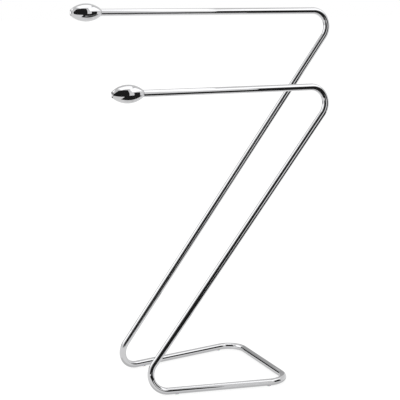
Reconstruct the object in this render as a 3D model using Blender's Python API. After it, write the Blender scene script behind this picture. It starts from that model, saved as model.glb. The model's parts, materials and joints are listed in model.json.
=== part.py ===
"""Floor-standing valet stand with two hanging arms, made from bent chromed tube.

Metres, +Z up.  The origin is on the floor, under the middle of the stand's bounding box.  +X runs
from the free ends of the arms towards their top bends, and +Y from the lower arm's side to the
upper arm's side.  Each physical piece is one object.

A flat tube loop lies on four small glides.  It is open at its left end, where both of its rails
curl up and over into short sockets that lean to the right.  An upright plugs into each socket:
it goes on up the same slope, turns back over itself in a tight bend and ends in a level arm.
"""

from math import acos, cos, pi, sin, sqrt, tan

import bmesh
import bpy
from mathutils import Matrix, Vector

# Tube stock, and the gap kept between pieces that touch.
TUBE_RADIUS = 0.0080
TUBE_WALL = 0.0012
FIT_GAP = 0.0003

# Centreline sizes.  Lengths along X are from the lower bend's corner, where the slope of an
# upright and its rail would meet without a bend, and rises are above the rails' centreline.
UPPER_ARM_RISE = 0.860
LOWER_ARM_RISE = 0.688
UPPER_CORNER_X = 0.629
LOWER_CORNER_X = 0.528
UPPER_TIP_X = -0.0769
LOWER_TIP_X = -0.0434
UPRIGHT_OFFSET_Y = 0.0908
LOOP_LENGTH = 0.373
LOOP_END_OFFSET_Y = 0.153
BEND_RADIUS = 0.040
LOOP_CORNER_RADIUS = 0.044
SOCKET_STRAIGHT = 0.034

# Joint between a socket and its upright.
SPIGOT_LENGTH = 0.052
JOINT_SCREW_RADIUS = 0.0025
JOINT_SCREW_LENGTH = 0.006
JOINT_SCREW_RISE = 0.013
JOINT_SCREW_KEY = 0.0025
JOINT_SCREW_KEY_DEPTH = 0.0024
JOINT_SCREW_CHAMFER = 0.00025

# Finial, a spindle whose side is one arc, and its fastening into the arm's open end.
FINIAL_RADIUS = 0.0205
FINIAL_ARC_RADIUS = 0.0552
FINIAL_OUTER_END_RADIUS = 0.0070
FINIAL_EDGE_BREAK = 0.0006
FINIAL_DISH_RADIUS = 0.0042
FINIAL_DISH_DEPTH = 0.0008
FINIAL_BORE_DEPTH = 0.018
STUD_RADIUS = 0.0030
STUD_LENGTH = 0.034
STUD_CHAMFER = 0.0006
INSERT_LENGTH = 0.014
INSERT_SETBACK = 0.0010

# Glides under the rails.
GLIDE_RADIUS = 0.0050
GLIDE_HEIGHT = 0.0020
GLIDE_EDGE_BREAK = 0.0003
GLIDE_STANDOFF = 0.0012
GLIDE_PEG_RADIUS = 0.0020
GLIDE_PEG_ROOT = 0.0006
GLIDE_PEG_TOP = 0.0060
GLIDE_LEFT_X = 0.098
GLIDE_RIGHT_X = 0.318

# Facets.
TUBE_SIDES = 20
LATHE_SIDES = 24
SMALL_SIDES = 16
BEND_STEPS = 9
LOOP_CORNER_STEPS = 7
FINIAL_ARC_STEPS = 10
FINIAL_DISH_STEPS = 3
HEXAGON_SIDES = 6
SHARP_ANGLE = 0.6

# Derived sizes.
TUBE_BORE_RADIUS = TUBE_RADIUS - TUBE_WALL
RAIL_HEIGHT = GLIDE_STANDOFF + TUBE_RADIUS
INNER_BAR_RADIUS = TUBE_BORE_RADIUS - FIT_GAP
FINIAL_ARC_CENTRE = FINIAL_ARC_RADIUS - FINIAL_RADIUS


def finial_reach(radius):
    """Distance along the finial's axis from its widest place to where its side has this radius."""
    return sqrt(FINIAL_ARC_RADIUS ** 2 - (FINIAL_ARC_CENTRE + radius) ** 2)


def corner_setback(slope_run, slope_rise):
    """Distance from a corner to its bend's tangent point, where a level run meets the slope."""
    interior = acos(slope_run / sqrt(slope_run ** 2 + slope_rise ** 2))
    return BEND_RADIUS / tan(interior / 2)


FINIAL_OUTER_REACH = finial_reach(FINIAL_OUTER_END_RADIUS)
FINIAL_INNER_REACH = finial_reach(TUBE_RADIUS)
FINIAL_LENGTH = FINIAL_OUTER_REACH + FINIAL_INNER_REACH
RIGHT_EXTREME = (UPPER_CORNER_X - corner_setback(UPPER_CORNER_X, UPPER_ARM_RISE)
                 + BEND_RADIUS + TUBE_RADIUS)
CENTRE_X = (UPPER_TIP_X + RIGHT_EXTREME) / 2


class Side:
    """One upright and the arm above it."""

    def __init__(self, name, arm, offset_y, corner_x, rise, tip_x):
        self.name = name
        self.arm = arm
        self.foot = stand_point(0.0, offset_y, 0.0)
        self.top = stand_point(corner_x, offset_y, rise)
        self.slope = (self.top - self.foot).normalized()
        self.seam = self.foot + self.slope * (corner_setback(corner_x, rise) + SOCKET_STRAIGHT)
        self.arm_end = stand_point(tip_x + FINIAL_LENGTH + FIT_GAP, offset_y, rise)
        # The joint screw comes in from below, square to the slope.
        self.underside = Vector((self.slope.z, 0.0, -self.slope.x))
        self.screw_axis_point = self.seam + self.slope * JOINT_SCREW_RISE


def stand_point(x, y, rise):
    """A point from its distance to the lower bend's corner and its rise above the rails."""
    return Vector((x - CENTRE_X, y, RAIL_HEIGHT + rise))


def clear_scene():
    for leftover in list(bpy.data.objects):
        bpy.data.objects.remove(leftover, do_unlink=True)


def make_material(name, colour, roughness, metallic):
    material = bpy.data.materials.new(name)
    material.use_nodes = True
    shader = material.node_tree.nodes["Principled BSDF"]
    shader.inputs["Base Color"].default_value = (*colour, 1.0)
    shader.inputs["Roughness"].default_value = roughness
    shader.inputs["Metallic"].default_value = metallic
    return material


def chrome(name):
    return make_material(name, (0.60, 0.60, 0.61), 0.05, 1.0)


def zinc_plate(name):
    return make_material(name, (0.62, 0.63, 0.64), 0.32, 1.0)


def black_steel(name):
    return make_material(name, (0.06, 0.06, 0.065), 0.38, 1.0)


def clear_plastic(name):
    return make_material(name, (0.82, 0.83, 0.83), 0.35, 0.0)


def mesh_from(bm, name):
    """Finish a mesh with outward faces, smooth where it is round and sharp at its edges."""
    bmesh.ops.recalc_face_normals(bm, faces=bm.faces)
    mesh = bpy.data.meshes.new(name)
    bm.to_mesh(mesh)
    bm.free()
    mesh.shade_smooth()
    mesh.set_sharp_from_angle(angle=SHARP_ANGLE)
    return mesh


def add_object(name, mesh, stand, material=None):
    piece = bpy.data.objects.new(name, mesh)
    bpy.context.scene.collection.objects.link(piece)
    piece.parent = stand
    if material:
        mesh.materials.append(material)
    return piece


def aim(piece, location, axis):
    """Put a piece's origin at a point, and turn its own +Z along an axis."""
    piece.rotation_mode = "QUATERNION"
    piece.rotation_quaternion = Vector((0.0, 0.0, 1.0)).rotation_difference(axis)
    piece.location = location


def combine(piece, other, operation):
    modifier = piece.modifiers.new(other.name, "BOOLEAN")
    modifier.operation = operation
    modifier.solver = "EXACT"
    modifier.object = other


def ring(bm, centre, across, up, radius, sides):
    """A ring of vertices around a point, in the plane of two unit vectors."""
    verts = []
    for side in range(sides):
        angle = 2 * pi * side / sides
        verts.append(bm.verts.new(centre + (across * sin(angle) + up * cos(angle)) * radius))
    return verts


def bridge(bm, first, second):
    for side, vert in enumerate(first):
        following = (side + 1) % len(first)
        bm.faces.new((vert, first[following], second[following], second[side]))


def rounded_path(corners, radii, steps):
    """The points along straight runs, with an arc of the given radius at each inner corner."""
    points = [corners[0]]
    for index in range(1, len(corners) - 1):
        corner = corners[index]
        back = (corners[index - 1] - corner).normalized()
        ahead = (corners[index + 1] - corner).normalized()
        half_interior = back.angle(ahead) / 2
        radius = radii[index - 1]
        centre = corner + (back + ahead).normalized() * (radius / sin(half_interior))
        spoke = corner + back * (radius / tan(half_interior)) - centre
        turn_axis = ahead.cross(back).normalized()
        turn = pi - 2 * half_interior
        count = steps[index - 1]
        for step in range(count + 1):
            points.append(centre + Matrix.Rotation(turn * step / count, 3, turn_axis) @ spoke)
    points.append(corners[-1])
    return points


def tube_mesh(name, points, start, up):
    """A hollow tube along a path.  The rings turn with it from the start point, without twist."""
    last = len(points) - 1
    tangents = []
    for index in range(len(points)):
        before = points[index] - points[max(index - 1, 0)]
        after = points[min(index + 1, last)] - points[index]
        tangents.append((before.normalized() + after.normalized()).normalized())
    ups = {start: up}
    for index in range(start + 1, last + 1):
        turn = tangents[index - 1].rotation_difference(tangents[index])
        ups[index] = turn @ ups[index - 1]
    for index in range(start - 1, -1, -1):
        turn = tangents[index + 1].rotation_difference(tangents[index])
        ups[index] = turn @ ups[index + 1]
    bm = bmesh.new()
    outer = []
    inner = []
    for index, point in enumerate(points):
        across = tangents[index].cross(ups[index])
        outer.append(ring(bm, point, across, ups[index], TUBE_RADIUS, TUBE_SIDES))
        inner.append(ring(bm, point, across, ups[index], TUBE_BORE_RADIUS, TUBE_SIDES))
    for index in range(last):
        bridge(bm, outer[index], outer[index + 1])
        bridge(bm, inner[index], inner[index + 1])
    bridge(bm, outer[0], inner[0])
    bridge(bm, outer[last], inner[last])
    return mesh_from(bm, name)


def turned_mesh(name, profile, sides, closed=False):
    """A body turned about its own Z from (height, radius) points; a closed profile leaves a bore."""
    bm = bmesh.new()
    rings = []
    for height, radius in profile:
        centre = Vector((0.0, 0.0, height))
        rings.append(ring(bm, centre, Vector((1, 0, 0)), Vector((0, 1, 0)), radius, sides))
    for first, second in zip(rings, rings[1:]):
        bridge(bm, first, second)
    if closed:
        bridge(bm, rings[-1], rings[0])
    else:
        bm.faces.new(rings[0])
        bm.faces.new(rings[-1])
    return mesh_from(bm, name)


def bar_mesh(name, radius, length, chamfer=0.0, sides=TUBE_SIDES):
    """A round bar from its own origin up +Z, with a small chamfer at each end if asked."""
    if chamfer:
        profile = [(0.0, radius - chamfer), (chamfer, radius),
                   (length - chamfer, radius), (length, radius - chamfer)]
    else:
        profile = [(0.0, radius), (length, radius)]
    return turned_mesh(name, profile, sides)


def add_cutter(name, mesh, stand, location, axis):
    cutter = add_object(name, mesh, stand)
    cutter.hide_render = True
    cutter.display_type = "WIRE"
    aim(cutter, location, axis)
    return cutter


def glide_places():
    """Name, place on the floor and rail direction of each glide."""
    places = []
    flare = (LOOP_END_OFFSET_Y - UPRIGHT_OFFSET_Y) / LOOP_LENGTH
    for side_name, sign in (("front", -1), ("rear", 1)):
        direction = Vector((1.0, sign * flare, 0.0)).normalized()
        for end_name, x in (("left", GLIDE_LEFT_X), ("right", GLIDE_RIGHT_X)):
            centre = stand_point(x, sign * (UPRIGHT_OFFSET_Y + x * flare), -RAIL_HEIGHT)
            places.append((f"glide_{side_name}_{end_name}", centre, direction))
    return places


def add_base_frame(stand, sides, material):
    """The floor loop with both lower bends and the sockets that the uprights stand on."""
    rear, front = sides
    rear_corner = stand_point(LOOP_LENGTH, LOOP_END_OFFSET_Y, 0.0)
    front_corner = stand_point(LOOP_LENGTH, -LOOP_END_OFFSET_Y, 0.0)
    corners = [rear.seam, rear.foot, rear_corner, front_corner, front.foot, front.seam]
    radii = [BEND_RADIUS, LOOP_CORNER_RADIUS, LOOP_CORNER_RADIUS, BEND_RADIUS]
    steps = [BEND_STEPS, LOOP_CORNER_STEPS, LOOP_CORNER_STEPS, BEND_STEPS]
    path = rounded_path(corners, radii, steps)
    rail_start = BEND_STEPS + LOOP_CORNER_STEPS + 2
    mesh = tube_mesh("base_frame", path, rail_start, Vector((0.0, 0.0, 1.0)))
    frame = add_object("base_frame", mesh, stand, material)
    hole_radius = GLIDE_PEG_RADIUS + FIT_GAP
    for name, centre, _direction in glide_places():
        hole = bar_mesh(name + "_hole", hole_radius, RAIL_HEIGHT, sides=SMALL_SIDES)
        cutter = add_cutter(name + "_hole", hole, stand, centre, Vector((0.0, 0.0, 1.0)))
        combine(frame, cutter, "DIFFERENCE")


def add_upright(stand, side, material):
    """A sloping tube that turns back at its top bend into a level arm."""
    start = side.seam + side.slope * FIT_GAP
    path = rounded_path([start, side.top, side.arm_end], [BEND_RADIUS], [BEND_STEPS])
    name = side.name + "_upright"
    mesh = tube_mesh(name, path, 0, Vector((0.0, 1.0, 0.0)))
    upright = add_object(name, mesh, stand, material)
    hole = bar_mesh(name + "_hole", JOINT_SCREW_RADIUS + FIT_GAP, 2 * TUBE_RADIUS,
                    sides=SMALL_SIDES)
    cutter = add_cutter(name + "_hole", hole, stand, side.screw_axis_point, side.underside)
    combine(upright, cutter, "DIFFERENCE")


def add_joint(stand, side, spigot_material, screw_material):
    """The bar inside a socket and its upright, and the grub screw that locks the upright."""
    spigot_name = side.name + "_joint_spigot"
    spigot_mesh = bar_mesh(spigot_name, INNER_BAR_RADIUS, SPIGOT_LENGTH, STUD_CHAMFER)
    spigot = add_object(spigot_name, spigot_mesh, stand, spigot_material)
    aim(spigot, side.seam - side.slope * (SPIGOT_LENGTH / 2), side.slope)

    screw_head = TUBE_RADIUS - FIT_GAP
    screw_point = screw_head - JOINT_SCREW_LENGTH
    hole = bar_mesh(spigot_name + "_hole", JOINT_SCREW_RADIUS + FIT_GAP, 2 * TUBE_RADIUS,
                    sides=SMALL_SIDES)
    hole_bottom = side.screw_axis_point + side.underside * (screw_point - FIT_GAP)
    cutter = add_cutter(spigot_name + "_hole", hole, stand, hole_bottom, side.underside)
    combine(spigot, cutter, "DIFFERENCE")

    screw_name = side.name + "_joint_screw"
    screw_mesh = bar_mesh(screw_name, JOINT_SCREW_RADIUS, JOINT_SCREW_LENGTH,
                          JOINT_SCREW_CHAMFER, SMALL_SIDES)
    screw = add_object(screw_name, screw_mesh, stand, screw_material)
    aim(screw, side.screw_axis_point + side.underside * screw_point, side.underside)
    # The key size is across the hexagon's flats, and a bar's radius is to its corners.
    key_radius = JOINT_SCREW_KEY / 2 / cos(pi / HEXAGON_SIDES)
    key = bar_mesh(screw_name + "_key", key_radius, JOINT_SCREW_LENGTH, sides=HEXAGON_SIDES)
    key_bottom = screw_head - JOINT_SCREW_KEY_DEPTH
    key_place = side.screw_axis_point + side.underside * key_bottom
    combine(screw, add_cutter(screw_name + "_key", key, stand, key_place, side.underside),
            "DIFFERENCE")


def finial_profile():
    """From the bore's bottom out of the inner end, over the arc, and into the outer end's dish."""
    bore_radius = STUD_RADIUS + FIT_GAP
    profile = [(FINIAL_BORE_DEPTH, bore_radius), (0.0, bore_radius), (0.0, TUBE_RADIUS)]
    span = FINIAL_LENGTH - FINIAL_EDGE_BREAK
    for step in range(1, FINIAL_ARC_STEPS + 1):
        along = span * step / FINIAL_ARC_STEPS
        radius = sqrt(FINIAL_ARC_RADIUS ** 2 - (along - FINIAL_INNER_REACH) ** 2)
        profile.append((along, radius - FINIAL_ARC_CENTRE))
    profile.append((FINIAL_LENGTH, FINIAL_OUTER_END_RADIUS - FINIAL_EDGE_BREAK))
    for step in range(FINIAL_DISH_STEPS):
        share = 1 - step / FINIAL_DISH_STEPS
        depth = FINIAL_DISH_DEPTH * (1 - share ** 2)
        profile.append((FINIAL_LENGTH - depth, FINIAL_DISH_RADIUS * share))
    return profile


def add_arm_end(stand, side, finial_material, steel_material):
    """The finial, the stud that holds it, and the threaded insert inside the arm's end."""
    outward = Vector((-1.0, 0.0, 0.0))
    finial_name = side.arm + "_finial"
    finial_mesh = turned_mesh(finial_name, finial_profile(), LATHE_SIDES)
    finial = add_object(finial_name, finial_mesh, stand, finial_material)
    aim(finial, side.arm_end + outward * FIT_GAP, outward)

    insert_name = side.arm + "_arm_insert"
    bore = STUD_RADIUS + FIT_GAP
    insert_profile = [(0.0, bore), (0.0, INNER_BAR_RADIUS), (INSERT_LENGTH, INNER_BAR_RADIUS),
                      (INSERT_LENGTH, bore)]
    insert_mesh = turned_mesh(insert_name, insert_profile, TUBE_SIDES, closed=True)
    insert = add_object(insert_name, insert_mesh, stand, steel_material)
    aim(insert, side.arm_end - outward * INSERT_SETBACK, -outward)

    stud_name = side.arm + "_finial_stud"
    stud_mesh = bar_mesh(stud_name, STUD_RADIUS, STUD_LENGTH, STUD_CHAMFER, SMALL_SIDES)
    stud = add_object(stud_name, stud_mesh, stand, steel_material)
    stud_tip = finial.location + outward * (FINIAL_BORE_DEPTH - FIT_GAP)
    aim(stud, stud_tip, -outward)


def add_glide(stand, name, centre, direction, material):
    """A round pad that cups the underside of its rail, with a peg through the tube's wall."""
    upward = Vector((0.0, 0.0, 1.0))
    profile = [(0.0, GLIDE_RADIUS - GLIDE_EDGE_BREAK), (GLIDE_EDGE_BREAK, GLIDE_RADIUS),
               (GLIDE_HEIGHT, GLIDE_RADIUS)]
    pad = add_object(name, turned_mesh(name, profile, TUBE_SIDES), stand, material)
    pad.location = centre

    saddle_reach = 2 * GLIDE_RADIUS
    saddle = bar_mesh(name + "_saddle", TUBE_RADIUS + FIT_GAP, 2 * saddle_reach)
    saddle_start = centre + upward * RAIL_HEIGHT - direction * saddle_reach
    combine(pad, add_cutter(name + "_saddle", saddle, stand, saddle_start, direction),
            "DIFFERENCE")

    peg = bar_mesh(name + "_peg", GLIDE_PEG_RADIUS, GLIDE_PEG_TOP - GLIDE_PEG_ROOT,
                   sides=SMALL_SIDES)
    combine(pad, add_cutter(name + "_peg", peg, stand, centre + upward * GLIDE_PEG_ROOT, upward),
            "UNION")


def build():
    clear_scene()
    stand = bpy.data.objects.new("valet_stand", None)
    bpy.context.scene.collection.objects.link(stand)
    sides = [
        Side("rear", "upper", UPRIGHT_OFFSET_Y, UPPER_CORNER_X, UPPER_ARM_RISE, UPPER_TIP_X),
        Side("front", "lower", -UPRIGHT_OFFSET_Y, LOWER_CORNER_X, LOWER_ARM_RISE, LOWER_TIP_X),
    ]
    tube_chrome = chrome("tube_chrome")
    finial_chrome = chrome("finial_chrome")
    plated_steel = zinc_plate("plated_steel")
    screw_steel = black_steel("screw_steel")
    glide_plastic = clear_plastic("glide_plastic")

    add_base_frame(stand, sides, tube_chrome)
    for side in sides:
        add_upright(stand, side, tube_chrome)
        add_joint(stand, side, plated_steel, screw_steel)
        add_arm_end(stand, side, finial_chrome, plated_steel)
    for name, centre, direction in glide_places():
        add_glide(stand, name, centre, direction, glide_plastic)
    bpy.context.view_layer.update()


build()
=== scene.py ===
"""Looks of the valet stand: polished chrome tube and finials in a light studio.

The tubes and finials are remade here as fine meshes, in the places that the frame's boxes give.
The small parts keep their CAD shapes and get their own finishes.  The studio is a white room with
a few bright and dark cards round the stand, which only the chrome's reflections show.
"""

import json
from math import atan, cos, pi, radians, sin, sqrt, tan

import bmesh
import bpy
from mathutils import Matrix, Vector

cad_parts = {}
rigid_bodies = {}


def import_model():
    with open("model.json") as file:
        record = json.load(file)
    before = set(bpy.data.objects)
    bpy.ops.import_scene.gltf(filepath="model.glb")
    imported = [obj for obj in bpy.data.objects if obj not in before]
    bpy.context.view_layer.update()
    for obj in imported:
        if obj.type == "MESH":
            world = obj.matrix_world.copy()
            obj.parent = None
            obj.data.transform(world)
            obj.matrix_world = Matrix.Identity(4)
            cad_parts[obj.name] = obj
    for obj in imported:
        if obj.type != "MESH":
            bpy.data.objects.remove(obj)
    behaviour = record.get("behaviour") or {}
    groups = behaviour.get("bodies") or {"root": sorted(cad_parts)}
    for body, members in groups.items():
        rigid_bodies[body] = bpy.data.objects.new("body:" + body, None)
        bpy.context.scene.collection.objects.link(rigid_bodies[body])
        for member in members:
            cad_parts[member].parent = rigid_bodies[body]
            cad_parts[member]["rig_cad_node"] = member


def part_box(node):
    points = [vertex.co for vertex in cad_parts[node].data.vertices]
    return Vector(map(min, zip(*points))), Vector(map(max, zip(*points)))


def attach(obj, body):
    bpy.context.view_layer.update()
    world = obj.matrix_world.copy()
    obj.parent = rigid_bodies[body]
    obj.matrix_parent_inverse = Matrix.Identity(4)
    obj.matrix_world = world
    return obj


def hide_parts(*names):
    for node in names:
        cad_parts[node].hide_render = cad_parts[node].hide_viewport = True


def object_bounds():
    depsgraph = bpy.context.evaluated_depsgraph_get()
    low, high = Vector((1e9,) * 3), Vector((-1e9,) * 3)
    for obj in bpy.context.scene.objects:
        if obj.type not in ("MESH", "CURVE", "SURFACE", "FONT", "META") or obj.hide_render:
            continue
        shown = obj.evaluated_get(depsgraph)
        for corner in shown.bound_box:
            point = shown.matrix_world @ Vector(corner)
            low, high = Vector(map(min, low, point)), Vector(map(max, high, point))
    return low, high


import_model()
CAD_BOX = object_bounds()

# Tube sizes that the boxes of the CAD nodes don't give.
BEND_RADIUS = 0.040
LOOP_CORNER_RADIUS = 0.044
TUBE_WALL = 0.0012
FIT_GAP = 0.0003
UPPER_SLOPE = atan(0.860 / 0.629)
LOWER_SLOPE = atan(0.688 / 0.528)
LOOP_FLARE = atan(0.0620 / 0.373)
TUBE_EDGE_BREAK = 0.00025
TUBE_MOUTH_DEPTH = 0.020

# Finial sizes: a spindle whose side is one arc, with a stud's bore at its inner end.
FINIAL_ARC_RADIUS = 0.0552
FINIAL_EDGE_BREAK = 0.0006
FINIAL_DISH_RADIUS = 0.0042
FINIAL_DISH_DEPTH = 0.0008
FINIAL_DISH_CENTRE = 0.0002
FINIAL_BORE_RADIUS = 0.0033
FINIAL_BORE_DEPTH = 0.018

# Facets of the fine meshes.
TUBE_SIDES = 72
BEND_STEPS = 48
FINIAL_SIDES = 120
FINIAL_ARC_STEPS = 96
FINIAL_EDGE_STEPS = 6
FINIAL_DISH_STEPS = 12
SHARP_ANGLE = 0.6

# Camera, from the viewing direction and the aim's distance to the middle of the CAD box.
CAMERA_AZIMUTH = radians(-23.65)
CAMERA_ELEVATION = radians(10.74)
CAMERA_DISTANCE = 2.6264
CAMERA_LENS = 99.81
CAMERA_SENSOR = 36.0
CAMERA_AIM_OFFSET = Vector((-0.0568, 0.0, -0.0138))

# Studio: how far off the upright cards stand, and how bright each kind of card is.
CARD_DISTANCE = 1.5
SOFTBOX = 1.8
DARK = 0.02
BACK_WALL = 0.5
PAPER = 1.0
CONTACT_SHADE = 0.75

# Sheets that lie on the floor, each a little above the one it covers.
PAPER_HEIGHT = 0.0004
SHADE_HEIGHT = 0.0008
PAPER_END_HEIGHT = 0.0010
SHEET_REACH = 20.0
SHADE_HALF_WIDTH = 0.02

# The softbox overhead: its height, and how far it reaches from above the stand.
OVERHEAD_HEIGHT = 3.0
OVERHEAD_REACH = 1.0

# Floor and room: the floor's size, paleness and glow, and the room's brightness.
FLOOR_REACH = 30.0
FLOOR_PALENESS = 0.35
FLOOR_GLOW = 0.78
HORIZON = 1.0
OVERHEAD = 0.8


# ---------------------------------------------------------------- shapes


def rounded_path(corners, radii, steps):
    """The points along straight runs, with an arc of the given radius at each inner corner."""
    points = [corners[0]]
    for index in range(1, len(corners) - 1):
        corner = corners[index]
        back = (corners[index - 1] - corner).normalized()
        ahead = (corners[index + 1] - corner).normalized()
        half_interior = back.angle(ahead) / 2
        radius = radii[index - 1]
        centre = corner + (back + ahead).normalized() * (radius / sin(half_interior))
        spoke = corner + back * (radius / tan(half_interior)) - centre
        turn_axis = ahead.cross(back).normalized()
        turn = pi - 2 * half_interior
        for step in range(steps + 1):
            points.append(centre + Matrix.Rotation(turn * step / steps, 3, turn_axis) @ spoke)
    points.append(corners[-1])
    return points


def ring(bm, centre, across, up, radius, sides):
    """A ring of vertices around a point, in the plane of two unit vectors."""
    verts = []
    for side in range(sides):
        angle = 2 * pi * side / sides
        verts.append(bm.verts.new(centre + (across * sin(angle) + up * cos(angle)) * radius))
    return verts


def bridge(bm, first, second, start, end, girth):
    """Joins two rings.  The texture coordinates are metres along the piece and round it."""
    layer = bm.loops.layers.uv.verify()
    for side, vert in enumerate(first):
        following = (side + 1) % len(first)
        face = bm.faces.new((vert, first[following], second[following], second[side]))
        near_turn = girth * side / len(first)
        far_turn = girth * (side + 1) / len(first)
        places = ((start, near_turn), (start, far_turn), (end, far_turn), (end, near_turn))
        for loop, place in zip(face.loops, places):
            loop[layer].uv = place


def skin(bm, rings, girth):
    """Joins rings in turn and closes both ends."""
    run = 0.0
    for first, second in zip(rings, rings[1:]):
        step = (second[0].co - first[0].co).length
        bridge(bm, first, second, run, run + step, girth)
        run += step
    bm.faces.new(rings[0])
    bm.faces.new(rings[-1])


def finish_mesh(bm, name):
    bmesh.ops.recalc_face_normals(bm, faces=bm.faces)
    mesh = bpy.data.meshes.new(name)
    bm.to_mesh(mesh)
    bm.free()
    mesh.shade_smooth()
    mesh.set_sharp_from_angle(angle=SHARP_ANGLE)
    return mesh


def tube_mesh(name, points, start, up, radius):
    """An open-ended tube along a path, whose rings turn with it from the start without twist."""
    last = len(points) - 1
    tangents = []
    for index in range(len(points)):
        before = points[index] - points[max(index - 1, 0)]
        after = points[min(index + 1, last)] - points[index]
        tangents.append((before.normalized() + after.normalized()).normalized())
    ups = {start: up}
    for index in range(start + 1, last + 1):
        turn = tangents[index - 1].rotation_difference(tangents[index])
        ups[index] = turn @ ups[index - 1]
    for index in range(start - 1, -1, -1):
        turn = tangents[index + 1].rotation_difference(tangents[index])
        ups[index] = turn @ ups[index + 1]

    bm = bmesh.new()

    def ring_at(index, size, shift=0.0):
        across = tangents[index].cross(ups[index])
        centre = points[index] + tangents[index] * shift
        return ring(bm, centre, across, ups[index], size, TUBE_SIDES)

    bore = radius - TUBE_WALL
    rings = [ring_at(0, bore, TUBE_MOUTH_DEPTH), ring_at(0, bore), ring_at(0, radius - TUBE_EDGE_BREAK),
             ring_at(0, radius, TUBE_EDGE_BREAK)]
    for index in range(1, last):
        rings.append(ring_at(index, radius))
    rings += [ring_at(last, radius, -TUBE_EDGE_BREAK), ring_at(last, radius - TUBE_EDGE_BREAK),
              ring_at(last, bore), ring_at(last, bore, -TUBE_MOUTH_DEPTH)]
    skin(bm, rings, 2 * pi * radius)
    return finish_mesh(bm, name)


def piece(name, mesh, slot, *nodes):
    obj = bpy.data.objects.new(name, mesh)
    bpy.context.scene.collection.objects.link(obj)
    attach(obj, "root")
    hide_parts(*nodes)
    return obj


def upright_lines(node, slope):
    """Radius of an upright's tube, its top corner and the seam at its lower end, from its box."""
    low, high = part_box(node)
    radius = (high.y - low.y) / 2
    plane = (high.y + low.y) / 2
    corner_x = high.x - radius - BEND_RADIUS + BEND_RADIUS / tan(slope / 2)
    top = Vector((corner_x, plane, high.z - radius))
    seam_height = low.z + radius * cos(slope)
    drop = (top.z - seam_height) / sin(slope)
    seam = top - Vector((cos(slope), 0.0, sin(slope))) * drop
    return radius, top, seam


def floor_loop():
    """Radius of the loop's tube, its seams with the uprights and its corners, rear to front."""
    base_low, base_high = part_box("base_frame")
    seams = []
    feet = []
    corners = []
    for side, sign, slope in (("rear", 1, UPPER_SLOPE), ("front", -1, LOWER_SLOPE)):
        radius, top, seam = upright_lines(side + "_upright", slope)
        rail_height = base_low.z + radius
        foot = Vector((top.x - (top.z - rail_height) / tan(slope), top.y, rail_height))
        loop_x = base_high.x - radius
        spread = sign * tan(LOOP_FLARE) * (loop_x - foot.x)
        seams.append(seam)
        feet.append(foot)
        corners.append(Vector((loop_x, foot.y + spread, rail_height)))
    return radius, seams, [feet[0], corners[0], corners[1], feet[1]]


def build_tubes():
    made = []
    for side, arm, slope in (("rear", "upper", UPPER_SLOPE), ("front", "lower", LOWER_SLOPE)):
        radius, top, seam = upright_lines(side + "_upright", slope)
        _finial_low, finial_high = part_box(arm + "_finial")
        tip = Vector((finial_high.x + FIT_GAP, top.y, top.z))
        path = rounded_path([seam, top, tip], [BEND_RADIUS], BEND_STEPS)
        name = side + "_upright_tube"
        mesh = tube_mesh(name, path, 0, Vector((0.0, 1.0, 0.0)), radius)
        made.append(piece(name, mesh, "tube_chrome", side + "_upright"))

    radius, seams, loop = floor_loop()
    rear_end = seams[0] + (loop[0] - seams[0]).normalized() * FIT_GAP
    front_end = seams[1] + (loop[3] - seams[1]).normalized() * FIT_GAP
    radii = [BEND_RADIUS, LOOP_CORNER_RADIUS, LOOP_CORNER_RADIUS, BEND_RADIUS]
    path = rounded_path([rear_end, *loop, front_end], radii, BEND_STEPS)
    end_rail_start = 2 * BEND_STEPS + 2
    mesh = tube_mesh("base_tube", path, end_rail_start, Vector((0.0, 0.0, 1.0)), radius)
    made.append(piece("base_tube", mesh, "tube_chrome", "base_frame"))
    return made


def finial_profile(length, widest, tube_radius):
    """Distance from the inner end and radius, from the bore's bottom to the outer end's dish."""
    arc_centre = FINIAL_ARC_RADIUS - widest
    inner_reach = sqrt(FINIAL_ARC_RADIUS ** 2 - (arc_centre + tube_radius) ** 2)
    profile = [(FINIAL_BORE_DEPTH, FINIAL_BORE_RADIUS), (0.0, FINIAL_BORE_RADIUS), (0.0, tube_radius)]
    span = length - FINIAL_EDGE_BREAK
    for step in range(1, FINIAL_ARC_STEPS + 1):
        along = span * step / FINIAL_ARC_STEPS
        radius = sqrt(FINIAL_ARC_RADIUS ** 2 - (along - inner_reach) ** 2) - arc_centre
        profile.append((along, radius))
    end_radius = profile[-1][1]
    for step in range(1, FINIAL_EDGE_STEPS + 1):
        angle = pi / 2 * step / FINIAL_EDGE_STEPS
        along = span + FINIAL_EDGE_BREAK * sin(angle)
        profile.append((along, end_radius - FINIAL_EDGE_BREAK * (1 - cos(angle))))
    for step in range(FINIAL_DISH_STEPS + 1):
        share = 1 - step / FINIAL_DISH_STEPS
        radius = max(FINIAL_DISH_RADIUS * share, FINIAL_DISH_CENTRE)
        profile.append((length - FINIAL_DISH_DEPTH * (1 - share ** 2), radius))
    return profile


def build_finials():
    made = []
    for arm, side in (("upper", "rear"), ("lower", "front")):
        low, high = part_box(arm + "_finial")
        centre = (low + high) / 2
        tube_low, tube_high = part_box(side + "_upright")
        tube_radius = (tube_high.y - tube_low.y) / 2
        widest = (high.z - low.z) / 2
        bm = bmesh.new()
        rings = []
        for along, radius in finial_profile(high.x - low.x, widest, tube_radius):
            place = Vector((high.x - along, centre.y, centre.z))
            rings.append(ring(bm, place, Vector((0.0, 1.0, 0.0)), Vector((0.0, 0.0, 1.0)), radius,
                              FINIAL_SIDES))
        skin(bm, rings, 2 * pi * widest)
        name = arm + "_finial_body"
        made.append(piece(name, finish_mesh(bm, name), "finial_chrome", arm + "_finial"))
    return made


# ---------------------------------------------------------------- materials


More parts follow.
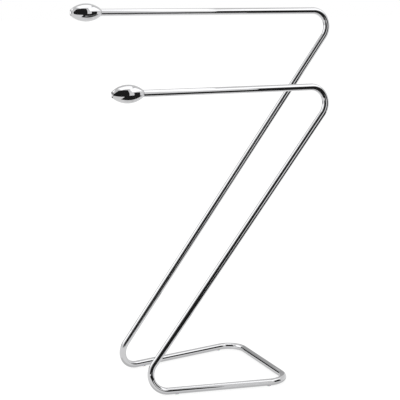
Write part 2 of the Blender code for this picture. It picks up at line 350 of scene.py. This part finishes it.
class Finish:
    """A Principled material and the few node patterns that its looks are built from."""

    def __init__(self, name, roughness, metallic):
        self.material = bpy.data.materials.new(name)
        self.material.use_nodes = True
        self.tree = self.material.node_tree
        self.shader = self.tree.nodes["Principled BSDF"]
        self.shader.inputs["Metallic"].default_value = metallic
        self.shader.inputs["Roughness"].default_value = roughness
        self.relief = None

    def node(self, kind, **inputs):
        made = self.tree.nodes.new(kind)
        for socket, value in inputs.items():
            self.feed(made, socket.replace("_", " "), value)
        return made

    def feed(self, node, socket, value):
        if isinstance(value, bpy.types.NodeSocket):
            self.tree.links.new(value, node.inputs[socket])
        else:
            node.inputs[socket].default_value = value

    def place(self, kind, stretch=(1.0, 1.0, 1.0), tilt=0.0):
        """Texture coordinates in metres, turned about Y and then stretched."""
        source = self.node("ShaderNodeTexCoord").outputs[kind]
        turned = self.node("ShaderNodeMapping", Vector=source, Rotation=(0.0, tilt, 0.0))
        return self.node("ShaderNodeMapping", Vector=turned.outputs[0], Scale=stretch).outputs[0]

    def noise(self, place, scale, detail=2.0, roughness=0.5):
        made = self.node("ShaderNodeTexNoise", Vector=place, Scale=scale, Detail=detail,
                         Roughness=roughness)
        return made.outputs["Fac"]

    def band(self, value, low, high, at_low, at_high):
        """The value's range from low to high, spread over another range and held at its ends."""
        made = self.node("ShaderNodeMapRange", Value=value)
        for socket, number in (("From Min", low), ("From Max", high), ("To Min", at_low),
                               ("To Max", at_high)):
            made.inputs[socket].default_value = number
        return made.outputs["Result"]

    def total(self, first, second):
        made = self.tree.nodes.new("ShaderNodeMath")
        made.operation = "ADD"
        self.feed(made, 0, first)
        self.feed(made, 1, second)
        return made.outputs[0]

    def colours(self, factor, first, second):
        made = self.tree.nodes.new("ShaderNodeMix")
        made.data_type = "RGBA"
        self.feed(made, "Factor", factor)
        self.feed(made, "A", (*first, 1.0))
        self.feed(made, "B", (*second, 1.0))
        self.tree.links.new(made.outputs["Result"], self.shader.inputs["Base Color"])

    def rough(self, value):
        self.tree.links.new(value, self.shader.inputs["Roughness"])

    def bump(self, height, depth):
        """Adds relief whose full height is the depth in metres."""
        made = self.node("ShaderNodeBump", Height=height, Distance=depth)
        if self.relief:
            self.tree.links.new(self.relief, made.inputs["Normal"])
        self.relief = made.outputs["Normal"]
        self.tree.links.new(self.relief, self.shader.inputs["Normal"])


def polished_chrome(name, colour, stain, buffing):
    """Bright chrome plate: buffing lines, a wiped haze, faint stains and fine dust pits."""
    finish = Finish(name, 0.03, 1.0)
    everywhere = finish.place("Object")
    lines = finish.noise(finish.place("UV", buffing), 1.0, 3.0, 0.6)
    haze = finish.noise(everywhere, 26.0, 4.0, 0.6)
    stains = finish.noise(everywhere, 9.0, 5.0, 0.65)
    pits = finish.noise(everywhere, 900.0, 1.0)
    finish.colours(finish.band(stains, 0.52, 0.72, 0.0, 1.0), colour, stain)
    wiped = finish.band(haze, 0.45, 0.75, 0.018, 0.055)
    scuffed = finish.band(lines, 0.55, 0.8, 0.0, 0.05)
    specks = finish.band(pits, 0.74, 0.8, 0.0, 0.25)
    finish.rough(finish.total(finish.total(wiped, scuffed), specks))
    finish.bump(finish.noise(everywhere, 38.0, 1.0), 0.000012)
    finish.bump(lines, 0.0000003)
    finish.bump(specks, -0.000004)
    return finish.material


def turned_steel(name, colour, bright, tilt):
    """Dull zinc plate over lathe lines that run round a bar, whose axis tilts up from X."""
    finish = Finish(name, 0.3, 1.0)
    lines = finish.noise(finish.place("Object", (3200.0, 90.0, 90.0), tilt), 1.0, 2.0, 0.6)
    bloom = finish.noise(finish.place("Object"), 210.0, 4.0, 0.6)
    finish.colours(finish.band(bloom, 0.4, 0.7, 0.0, 1.0), colour, bright)
    finish.rough(finish.total(finish.band(lines, 0.3, 0.7, 0.22, 0.38),
                              finish.band(bloom, 0.4, 0.8, 0.0, 0.12)))
    finish.bump(lines, 0.00002)
    return finish.material


def black_oxide(name):
    """Blackened screw steel, rubbed brighter in small patches."""
    finish = Finish(name, 0.4, 1.0)
    grain = finish.noise(finish.place("Object"), 2600.0, 3.0, 0.6)
    rubbed = finish.noise(finish.place("Object"), 620.0, 3.0, 0.6)
    finish.colours(finish.band(rubbed, 0.55, 0.72, 0.0, 1.0), (0.035, 0.036, 0.04), (0.17, 0.17, 0.18))
    finish.rough(finish.band(rubbed, 0.4, 0.7, 0.48, 0.28))
    finish.bump(grain, 0.000015)
    return finish.material


def frosted_plastic(name):
    """Clear plastic with a frosted skin, clouded inside and scuffed grey in patches."""
    finish = Finish(name, 0.4, 0.0)
    frost = finish.noise(finish.place("Object"), 3800.0, 2.0, 0.6)
    scuffs = finish.noise(finish.place("Object"), 700.0, 4.0, 0.6)
    finish.colours(finish.band(scuffs, 0.5, 0.78, 0.0, 1.0), (0.86, 0.87, 0.87), (0.62, 0.62, 0.61))
    finish.rough(finish.band(scuffs, 0.3, 0.7, 0.34, 0.55))
    finish.bump(frost, 0.00001)
    finish.shader.inputs["IOR"].default_value = 1.49
    finish.shader.inputs["Subsurface Weight"].default_value = 0.2
    finish.shader.inputs["Subsurface Scale"].default_value = 0.001
    return finish.material


def dress(obj, material):
    obj.data.materials.clear()
    obj.data.materials.append(material)


def node_object(node):
    for obj in bpy.context.scene.objects:
        if obj.get("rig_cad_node") == node:
            return obj
    raise LookupError(node)


def give_finishes(tubes, finials):
    # Drawn tube is buffed along its length, a turned finial round its axis.
    along_length = (60.0, 5200.0, 1.0)
    round_axis = (4200.0, 60.0, 1.0)
    tube_chrome = polished_chrome("tube_chrome", (0.60, 0.60, 0.61), (0.57, 0.57, 0.565), along_length)
    finial_chrome = polished_chrome("finial_chrome", (0.60, 0.60, 0.61), (0.57, 0.57, 0.565), round_axis)
    for obj in tubes:
        dress(obj, tube_chrome)
    for obj in finials:
        dress(obj, finial_chrome)
    zinc = (0.55, 0.56, 0.575)
    zinc_bright = (0.70, 0.70, 0.68)
    level_steel = turned_steel("level_plated_steel", zinc, zinc_bright, 0.0)
    for arm in ("upper", "lower"):
        dress(node_object(arm + "_finial_stud"), level_steel)
        dress(node_object(arm + "_arm_insert"), level_steel)
    screw = black_oxide("screw_black_oxide")
    for side, slope in (("rear", UPPER_SLOPE), ("front", LOWER_SLOPE)):
        dress(node_object(side + "_joint_spigot"),
              turned_steel(side + "_spigot_steel", zinc, zinc_bright, slope))
        dress(node_object(side + "_joint_screw"), screw)
    plastic = frosted_plastic("frosted_plastic")
    for side in ("front", "rear"):
        for end in ("left", "right"):
            dress(node_object(f"glide_{side}_{end}"), plastic)


# ---------------------------------------------------------------- studio


def glowing(name, brightness):
    material = bpy.data.materials.new(name)
    material.use_nodes = True
    tree = material.node_tree
    tree.nodes.clear()
    glow = tree.nodes.new("ShaderNodeEmission")
    glow.inputs["Strength"].default_value = brightness
    output = tree.nodes.new("ShaderNodeOutputMaterial")
    tree.links.new(glow.outputs[0], output.inputs["Surface"])
    return material


def reflected_only(obj):
    """A card that shows in reflections and neither lights nor shades anything else."""
    obj.visible_camera = False
    obj.visible_diffuse = False
    obj.visible_transmission = False
    obj.visible_volume_scatter = False
    obj.visible_shadow = False


def card(name, corners, brightness):
    mesh = bpy.data.meshes.new(name)
    mesh.from_pydata(corners, [], [(0, 1, 2, 3)])
    mesh.materials.append(glowing(name, brightness))
    obj = bpy.data.objects.new(name, mesh)
    bpy.context.scene.collection.objects.link(obj)
    reflected_only(obj)


def standing_card(name, azimuth, distance, half_width, bottom, top, brightness):
    """An upright card that faces the stand.  Azimuth 0 is in front and 90 on the right."""
    angle = radians(azimuth)
    out = Vector((sin(angle), -cos(angle), 0.0)) * distance
    side = Vector((cos(angle), sin(angle), 0.0))
    left = out - side * half_width
    right = out + side * half_width
    corners = [(left.x, left.y, bottom), (right.x, right.y, bottom),
               (right.x, right.y, top), (left.x, left.y, top)]
    card(name, corners, brightness)


def lying_card(name, x_range, y_range, height, brightness):
    corners = [(x_range[0], y_range[0], height), (x_range[1], y_range[0], height),
               (x_range[1], y_range[1], height), (x_range[0], y_range[1], height)]
    card(name, corners, brightness)


def build_cards():
    """A plain studio: three softboxes, a grey back wall, and dark at the camera and the paper's end."""
    standing_card("camera_side", -30, CARD_DISTANCE, 1.0, 0.0, 3.0, DARK)
    standing_card("right_flag", 45, CARD_DISTANCE, 0.5, 0.0, 1.2, DARK)
    standing_card("back_flag", -150, CARD_DISTANCE, 0.25, 0.0, 0.6, DARK)
    standing_card("back_wall", 180, 2 * CARD_DISTANCE, 3.0, 0.0, 2.0, BACK_WALL)
    standing_card("left_softbox", -120, CARD_DISTANCE, 0.75, 0.5, 2.5, SOFTBOX)
    standing_card("right_softbox", 60, CARD_DISTANCE, 1.25, 1.5, 3.5, SOFTBOX)
    lying_card("overhead_softbox", (-OVERHEAD_REACH, OVERHEAD_REACH), (-OVERHEAD_REACH, OVERHEAD_REACH),
               OVERHEAD_HEIGHT, SOFTBOX)
    lying_card("paper", (-SHEET_REACH, SHEET_REACH), (-SHEET_REACH, SHEET_REACH), PAPER_HEIGHT, PAPER)
    lying_card("paper_end", (-0.5, 2.0), (-3.0, -0.3), PAPER_END_HEIGHT, DARK)


def build_contact_shade():
    """Strips under the floor loop, which stand for the shade that its tube throws on the floor."""
    _radius, _seams, loop = floor_loop()
    for count, (start, end) in enumerate(zip(loop, loop[1:])):
        side = (end - start).cross(Vector((0.0, 0.0, 1.0))).normalized() * SHADE_HALF_WIDTH
        edges = (start - side, end - side, end + side, start + side)
        corners = [(place.x, place.y, SHADE_HEIGHT) for place in edges]
        card(f"contact_shade_{count}", corners, CONTACT_SHADE)


def build_floor():
    """A plain white floor that fills the view, a little overlit so that it meets the white room."""
    half = FLOOR_REACH
    mesh = bpy.data.meshes.new("floor")
    mesh.from_pydata([(-half, -half, 0.0), (half, -half, 0.0), (half, half, 0.0), (-half, half, 0.0)],
                     [], [(0, 1, 2, 3)])
    material = bpy.data.materials.new("floor_white")
    material.use_nodes = True
    shader = material.node_tree.nodes["Principled BSDF"]
    shader.inputs["Base Color"].default_value = (FLOOR_PALENESS, FLOOR_PALENESS, FLOOR_PALENESS, 1.0)
    shader.inputs["Roughness"].default_value = 1.0
    shader.inputs["Specular IOR Level"].default_value = 0.0
    shader.inputs["Emission Color"].default_value = (1.0, 1.0, 1.0, 1.0)
    shader.inputs["Emission Strength"].default_value = FLOOR_GLOW
    mesh.materials.append(material)
    floor = bpy.data.objects.new("floor", mesh)
    bpy.context.scene.collection.objects.link(floor)


def build_room():
    """White surroundings, brightest at the horizon and a little greyer overhead."""
    world = bpy.data.worlds.new("studio")
    bpy.context.scene.world = world
    world.use_nodes = True
    tree = world.node_tree
    direction = tree.nodes.new("ShaderNodeTexCoord").outputs["Generated"]
    split = tree.nodes.new("ShaderNodeSeparateXYZ")
    tree.links.new(direction, split.inputs[0])
    blend = tree.nodes.new("ShaderNodeMapRange")
    blend.inputs["To Min"].default_value = HORIZON
    blend.inputs["To Max"].default_value = OVERHEAD
    tree.links.new(split.outputs["Z"], blend.inputs["Value"])
    tree.links.new(blend.outputs["Result"], tree.nodes["Background"].inputs["Strength"])
    tree.nodes["Background"].inputs["Color"].default_value = (1.0, 1.0, 1.0, 1.0)
    bpy.context.scene.view_settings.view_transform = "Standard"


def make_camera():
    data = bpy.data.cameras.new("camera")
    data.lens = CAMERA_LENS
    data.sensor_width = CAMERA_SENSOR
    camera = bpy.data.objects.new("camera", data)
    bpy.context.scene.collection.objects.link(camera)
    back = Vector((sin(CAMERA_AZIMUTH) * cos(CAMERA_ELEVATION),
                   -cos(CAMERA_AZIMUTH) * cos(CAMERA_ELEVATION), sin(CAMERA_ELEVATION)))
    aim = (CAD_BOX[0] + CAD_BOX[1]) / 2 + CAMERA_AIM_OFFSET
    camera.location = aim + back * CAMERA_DISTANCE
    camera.rotation_euler = (-back).to_track_quat("-Z", "Y").to_euler()
    bpy.context.scene.camera = camera


make_camera()
give_finishes(build_tubes(), build_finials())
build_cards()
build_contact_shade()
build_floor()
build_room()
